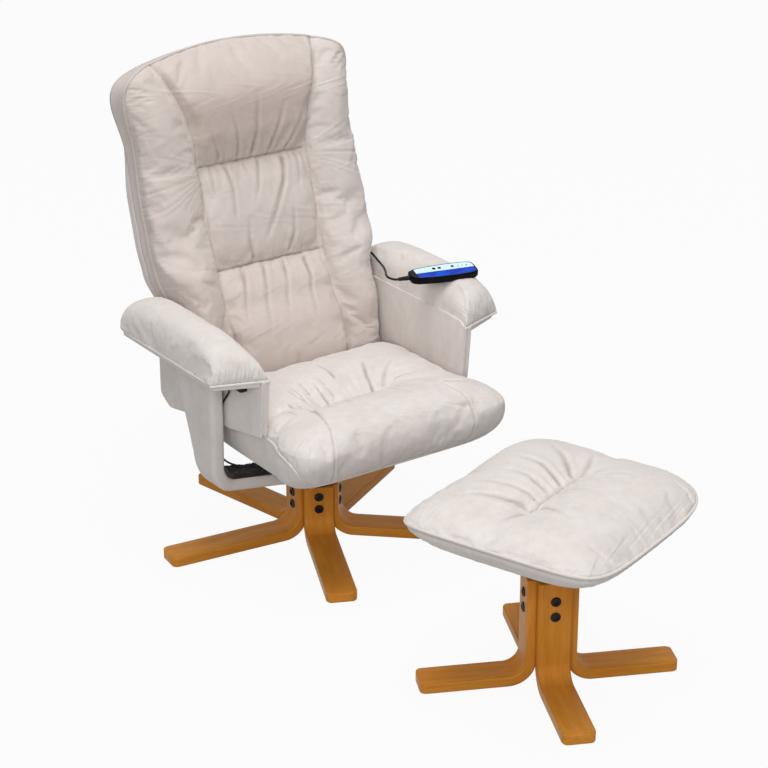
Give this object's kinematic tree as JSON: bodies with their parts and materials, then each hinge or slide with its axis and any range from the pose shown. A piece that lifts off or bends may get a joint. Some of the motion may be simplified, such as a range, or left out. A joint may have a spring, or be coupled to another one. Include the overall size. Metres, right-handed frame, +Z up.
{
  "type": "reclining massage chair with footstool",
  "caption": "Swivel recliner for foot treatment on a bentwood star base, with cushioned arms, reclining back, massage handset and matching footstool.",
  "frame": {"origin": "on the floor under the chair's swivel axis", "axes": "+Z up, the sitter faces -Y towards the footstool, +X is the sitter's left"},
  "size_m": [0.716, 1.4624, 1.0383],
  "materials": {
    "suede": "brushed nap, cream",
    "amber_wood": "satin lacquer over bent laminate",
    "raw_wood": "unfinished plywood",
    "black_steel": "satin black paint",
    "bolt_cap": "black oxide",
    "bare_steel": "zinc",
    "strut_chrome": "polished",
    "black_plastic": "moulded",
    "white_plastic": "moulded",
    "black_cloth": "thin lining cloth",
    "lead_rubber": "matte",
    "handset_black": "glossy",
    "handset_plate": "pale faceplate",
    "handset_blue": "clear blue",
    "circuit_green": "circuit board"
  },
  "bodies": {
    "star_base": {"base_hub": "black_steel", "base_leg_1": "amber_wood", "base_leg_2": "amber_wood", "base_leg_3": "amber_wood", "base_leg_4": "amber_wood", "base_leg_5": "amber_wood", "base_bolts": "bolt_cap", "base_glides": "black_plastic", "swivel_bush": "white_plastic", "thrust_bearing": "bare_steel"},
    "chair_frame": {"swivel_spindle": "bare_steel", "spindle_clip": "bare_steel", "yoke_cover": "suede", "yoke_bar": "black_steel", "yoke_bolts": "bare_steel", "yoke_lining": "black_cloth", "seat_risers": "black_steel", "seat_board": "raw_wood", "seat_rails": "black_steel", "seat_cushion": "suede", "seat_motors": "black_plastic", "side_panel_right": "suede", "side_panel_left": "suede", "arm_board_right": "raw_wood", "arm_board_left": "raw_wood", "arm_pad_right": "suede", "arm_pad_left": "suede", "strut_brackets": "black_steel", "gas_strut": "black_steel", "lever_bracket": "black_plastic", "release_cable": "lead_rubber", "control_box": "black_plastic", "control_lid": "black_plastic", "power_inlet": "black_plastic", "lead_run": "lead_rubber", "lead_clips": "black_plastic", "handset_lead": "lead_rubber", "strain_relief": "lead_rubber", "handset_base": "handset_black", "handset_circuit": "circuit_green", "handset_top": "handset_black", "handset_keys_plate": "handset_plate", "handset_panel": "handset_blue"},
    "backrest": {"back_hinge_frame": "black_steel", "back_board": "raw_wood", "back_motors": "black_plastic", "heating_pad": "black_cloth", "back_cushion": "suede", "back_cover": "suede"},
    "strut_rod": {"strut_rod": "strut_chrome"},
    "release_lever": {"release_lever": "black_plastic"},
    "key_left": {"key_left": "handset_black"},
    "key_right": {"key_right": "handset_black"},
    "key_power": {"key_power": "handset_blue"},
    "stool": {"stool_hub": "black_steel", "stool_legs": "amber_wood", "stool_bolts": "bolt_cap", "stool_glides": "black_plastic", "stool_board": "raw_wood", "stool_cushion": "suede"}
  },
  "joints": [
    {"name": "chair_swivel", "type": "hinge", "parent": "star_base", "child": "chair_frame", "pos_m": [0, 0, 0.13], "axis": [0, 0, 1], "continuous": true},
    {"name": "recline", "type": "hinge", "parent": "chair_frame", "child": "backrest", "pos_m": [0, 0.165, 0.2856], "axis": [-1, 0, 0], "range_deg": [0, 35]},
    {"name": "strut_slide", "type": "slide", "parent": "chair_frame", "child": "strut_rod", "axis": [0, -1, 0], "range_m": [0, 0.0379]},
    {"name": "lever_lift", "type": "hinge", "parent": "chair_frame", "child": "release_lever", "pos_m": [-0.283, -0.11, 0.4696], "axis": [-1, 0, 0], "range_deg": [0, 6], "stiffness_Nm_per_rad": 0.5},
    {"name": "key_left_press", "type": "slide", "parent": "chair_frame", "child": "key_left", "axis": [0.0378, 0.1518, -0.9877], "range_m": [0, 0.001], "stiffness_N_per_m": 300},
    {"name": "key_right_press", "type": "slide", "parent": "chair_frame", "child": "key_right", "axis": [0.0378, 0.1518, -0.9877], "range_m": [0, 0.001], "stiffness_N_per_m": 300},
    {"name": "key_power_press", "type": "slide", "parent": "chair_frame", "child": "key_power", "axis": [0.0378, 0.1518, -0.9877], "range_m": [0, 0.001], "stiffness_N_per_m": 300},
    {"name": "stool_slide", "type": "slide", "parent": "star_base", "child": "stool", "axis": [0, -1, 0], "range_m": [-0.05, 0.4]}
  ],
  "couplings": [
    {"joint": "strut_slide", "follows": "recline", "m_per_rad": 0.06194}
  ]
}
